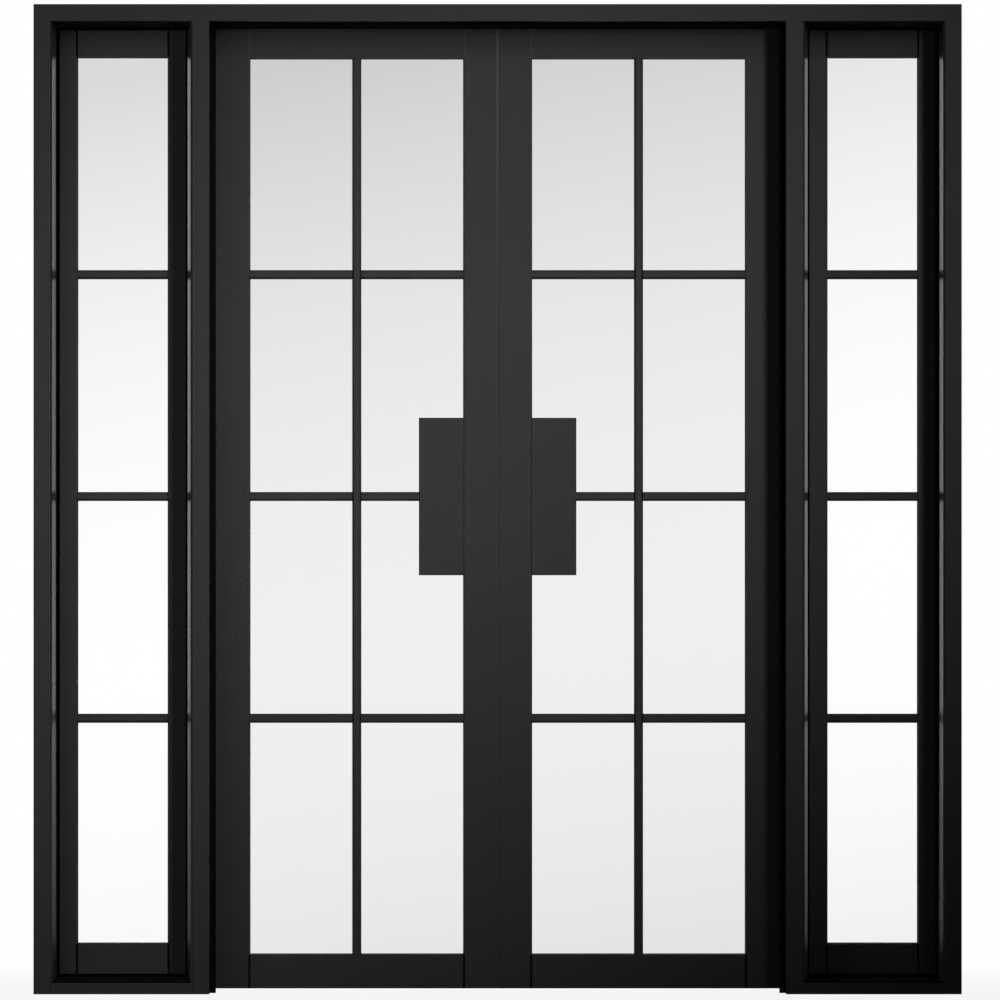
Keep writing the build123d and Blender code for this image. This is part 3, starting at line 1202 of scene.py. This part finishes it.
def studio_world(settings):
    """A room that is white to the camera, dim in front of the divider and bright behind it.

    Through the panes it shows as a backdrop with a soft glow at eye level, 1 - k * (z - tilt * x -
    z0)^2 of the direction's height z and its side x, that comes back to white further up and down,
    and a shaded strip behind the doors, where |x| is small.
    """
    # The room turns from its front tone to its back tone between these parts of a direction along Y
    front_end, back_start = 0.1, 0.6
    # Height of the glow's middle, its lowest brightness, and the squares of the distance from its
    # middle at which it has come down to that and is back at white
    glow_height = -0.01
    dimmest = 0.7
    dimmest_at, white_at = 0.0026, 0.02
    # Sides between which the shaded strip fades out
    strip_inner, strip_outer = 0.0215, 0.0283
    world = bpy.data.worlds.new("studio")
    world.use_nodes = True
    tree = world.node_tree
    tree.nodes.clear()
    direction = add_node(tree, "ShaderNodeTexCoord").outputs["Generated"]
    parts = add_node(tree, "ShaderNodeSeparateXYZ", inputs={"Vector": direction})
    tone = add_node(
        tree,
        "ShaderNodeMapRange",
        {"interpolation_type": "SMOOTHSTEP"},
        {
            "Value": parts.outputs["Y"],
            "From Min": front_end,
            "From Max": back_start,
            "To Min": settings.front_tone,
            "To Max": settings.back_tone,
        },
    )
    band = add_node(
        tree,
        "ShaderNodeVectorMath",
        {"operation": "DOT_PRODUCT"},
        {0: direction, 1: (-settings.glow_tilt, 0, 1)},
    )
    rise = add_node(
        tree,
        "ShaderNodeMath",
        {"operation": "ADD"},
        {0: band.outputs["Value"], 1: -glow_height},
    )
    square = add_node(
        tree, "ShaderNodeMath", {"operation": "POWER"}, {0: rise.outputs[0], 1: 2.0}
    )
    near = add_node(
        tree,
        "ShaderNodeMapRange",
        inputs={
            "Value": square.outputs[0],
            "From Max": dimmest_at,
            "To Min": 1.0,
            "To Max": dimmest,
        },
    )
    far = add_node(
        tree,
        "ShaderNodeMapRange",
        inputs={
            "Value": square.outputs[0],
            "From Min": dimmest_at,
            "From Max": white_at,
            "To Min": dimmest,
            "To Max": 1.0,
        },
    )
    glow = add_node(
        tree,
        "ShaderNodeMath",
        {"operation": "MAXIMUM"},
        {0: near.outputs["Result"], 1: far.outputs["Result"]},
    )
    aside = add_node(tree, "ShaderNodeMath", {"operation": "ABSOLUTE"}, {0: parts.outputs["X"]})
    shade = add_node(
        tree,
        "ShaderNodeMapRange",
        {"interpolation_type": "SMOOTHSTEP"},
        {
            "Value": aside.outputs[0],
            "From Min": strip_inner,
            "From Max": strip_outer,
            "To Min": settings.pane_glow * settings.door_shade,
            "To Max": settings.pane_glow,
        },
    )
    backdrop = add_node(
        tree,
        "ShaderNodeMath",
        {"operation": "MULTIPLY"},
        {0: glow.outputs[0], 1: shade.outputs["Result"]},
    )
    path = add_node(tree, "ShaderNodeLightPath")
    panes = add_node(
        tree,
        "ShaderNodeMix",
        inputs={
            0: path.outputs["Is Transmission Ray"],
            2: tone.outputs["Result"],
            3: backdrop.outputs[0],
        },
    )
    seen = add_node(
        tree,
        "ShaderNodeMix",
        inputs={0: path.outputs["Is Camera Ray"], 2: panes.outputs[0], 3: 1.0},
    )
    room = add_node(
        tree,
        "ShaderNodeBackground",
        inputs={"Color": (1, 1, 1, 1), "Strength": seen.outputs[0]},
    )
    add_node(tree, "ShaderNodeOutputWorld", inputs={"Surface": room.outputs[0]})
    return world


def pale_floor(settings, middle):
    """A round floor, z = 0 on a polar grid of (r cos t, r sin t) about the divider's middle."""
    radius = 1.9
    spokes, rings = 96, 12
    share = np.linspace(0, 1, rings + 1)[1:]
    turn = np.linspace(0, 2 * math.pi, spokes, endpoint=False)
    r, t = np.meshgrid(share * radius, turn, indexing="ij")
    points = np.stack([middle.x + r * np.cos(t), r * np.sin(t), np.zeros_like(r)], axis=2)
    index = np.arange(rings * spokes).reshape(rings, spokes)
    mesh = bpy.data.meshes.new("floor")
    mesh.from_pydata(points.reshape(-1, 3).tolist(), [], ring_faces(index) + [index[0].tolist()])
    mesh.materials.append(floor_paint(settings, middle))
    floor = bpy.data.objects.new("floor", mesh)
    bpy.context.scene.collection.objects.link(floor)
    return floor


def floor_paint(settings, middle):
    """Pale matt floor paint: white to the eye but for the divider's soft shadow, and dim as a light.

    It keeps a share of the shadow near the divider and none near its own edge.
    """
    white_near = 0.88
    fade_start, fade_end = 1.0, 1.8
    material, tree = new_material("pale_floor")
    place = add_node(tree, "ShaderNodeTexCoord").outputs["Object"]
    centred = add_node(
        tree,
        "ShaderNodeVectorMath",
        {"operation": "SUBTRACT"},
        {0: place, 1: (middle.x, 0, 0)},
    )
    distance = add_node(
        tree, "ShaderNodeVectorMath", {"operation": "LENGTH"}, {0: centred.outputs[0]}
    )
    fade = add_node(
        tree,
        "ShaderNodeMapRange",
        {"interpolation_type": "SMOOTHSTEP"},
        {
            "Value": distance.outputs["Value"],
            "From Min": fade_start,
            "From Max": fade_end,
            "To Min": white_near,
            "To Max": 1.0,
        },
    )
    path = add_node(tree, "ShaderNodeLightPath")
    looked = add_node(
        tree,
        "ShaderNodeMath",
        {"operation": "MAXIMUM"},
        {0: path.outputs["Is Camera Ray"], 1: path.outputs["Is Transmission Ray"]},
    )
    share_white = add_node(
        tree,
        "ShaderNodeMath",
        {"operation": "MULTIPLY"},
        {0: fade.outputs["Result"], 1: looked.outputs[0]},
    )
    tone = add_node(
        tree,
        "ShaderNodeMix",
        {"data_type": "RGBA"},
        {
            "Factor": looked.outputs[0],
            "A": (*settings.floor_shade, 1),
            "B": (*settings.floor_colour, 1),
        },
    )
    matt = add_node(tree, "ShaderNodeBsdfDiffuse", inputs={"Color": tone.outputs["Result"]})
    white = add_node(
        tree, "ShaderNodeEmission", inputs={"Color": (1, 1, 1, 1), "Strength": 1.0}
    )
    cover = add_node(
        tree,
        "ShaderNodeMixShader",
        inputs={0: share_white.outputs[0], 1: matt.outputs[0], 2: white.outputs[0]},
    )
    add_node(tree, "ShaderNodeOutputMaterial", inputs={"Surface": cover.outputs[0]})
    return material


class DIVIDER_PT_sidebar(bpy.types.Panel):
    """Lists the divider's finishing steps and their settings"""

    bl_label = "Room divider"
    bl_idname = "DIVIDER_PT_sidebar"
    bl_space_type = "VIEW_3D"
    bl_region_type = "UI"
    bl_category = "Divider"

    def draw(self, context):
        column = self.layout.column()
        for step in STEPS:
            column.operator(step.bl_idname)
        for name in SETTINGS:
            group = getattr(context.scene, name)
            box = column.box()
            for key in group.__annotations__:
                box.prop(group, key)


SETTINGS = {
    "divider_paint": PaintSettings,
    "divider_glass": GlassSettings,
    "divider_hardware": HardwareSettings,
    "divider_stage": StageSettings,
}
STEPS = (
    DIVIDER_OT_paint_timber,
    DIVIDER_OT_glaze,
    DIVIDER_OT_fit_shade_fillets,
    DIVIDER_OT_fit_hinges,
    DIVIDER_OT_fit_seal,
    DIVIDER_OT_shade_joints,
    DIVIDER_OT_set_stage,
)
CLASSES = (*SETTINGS.values(), *STEPS, DIVIDER_PT_sidebar)


def register():
    """Register the classes, and hang each group of settings on the scene."""
    for cls in CLASSES:
        bpy.utils.register_class(cls)
    for name, group in SETTINGS.items():
        setattr(bpy.types.Scene, name, bpy.props.PointerProperty(type=group))


def unregister():
    """Take the settings off the scene and unregister the classes."""
    for name in SETTINGS:
        delattr(bpy.types.Scene, name)
    for cls in reversed(CLASSES):
        bpy.utils.unregister_class(cls)


def main():
    """Run every step in order."""
    register()
    bpy.ops.divider.paint_timber()
    bpy.ops.divider.glaze()
    bpy.ops.divider.fit_gaskets()
    bpy.ops.divider.fit_hinges()
    bpy.ops.divider.fit_seal()
    bpy.ops.divider.caulk_joints()
    bpy.ops.divider.set_stage()


if __name__ == "__main__":
    main()
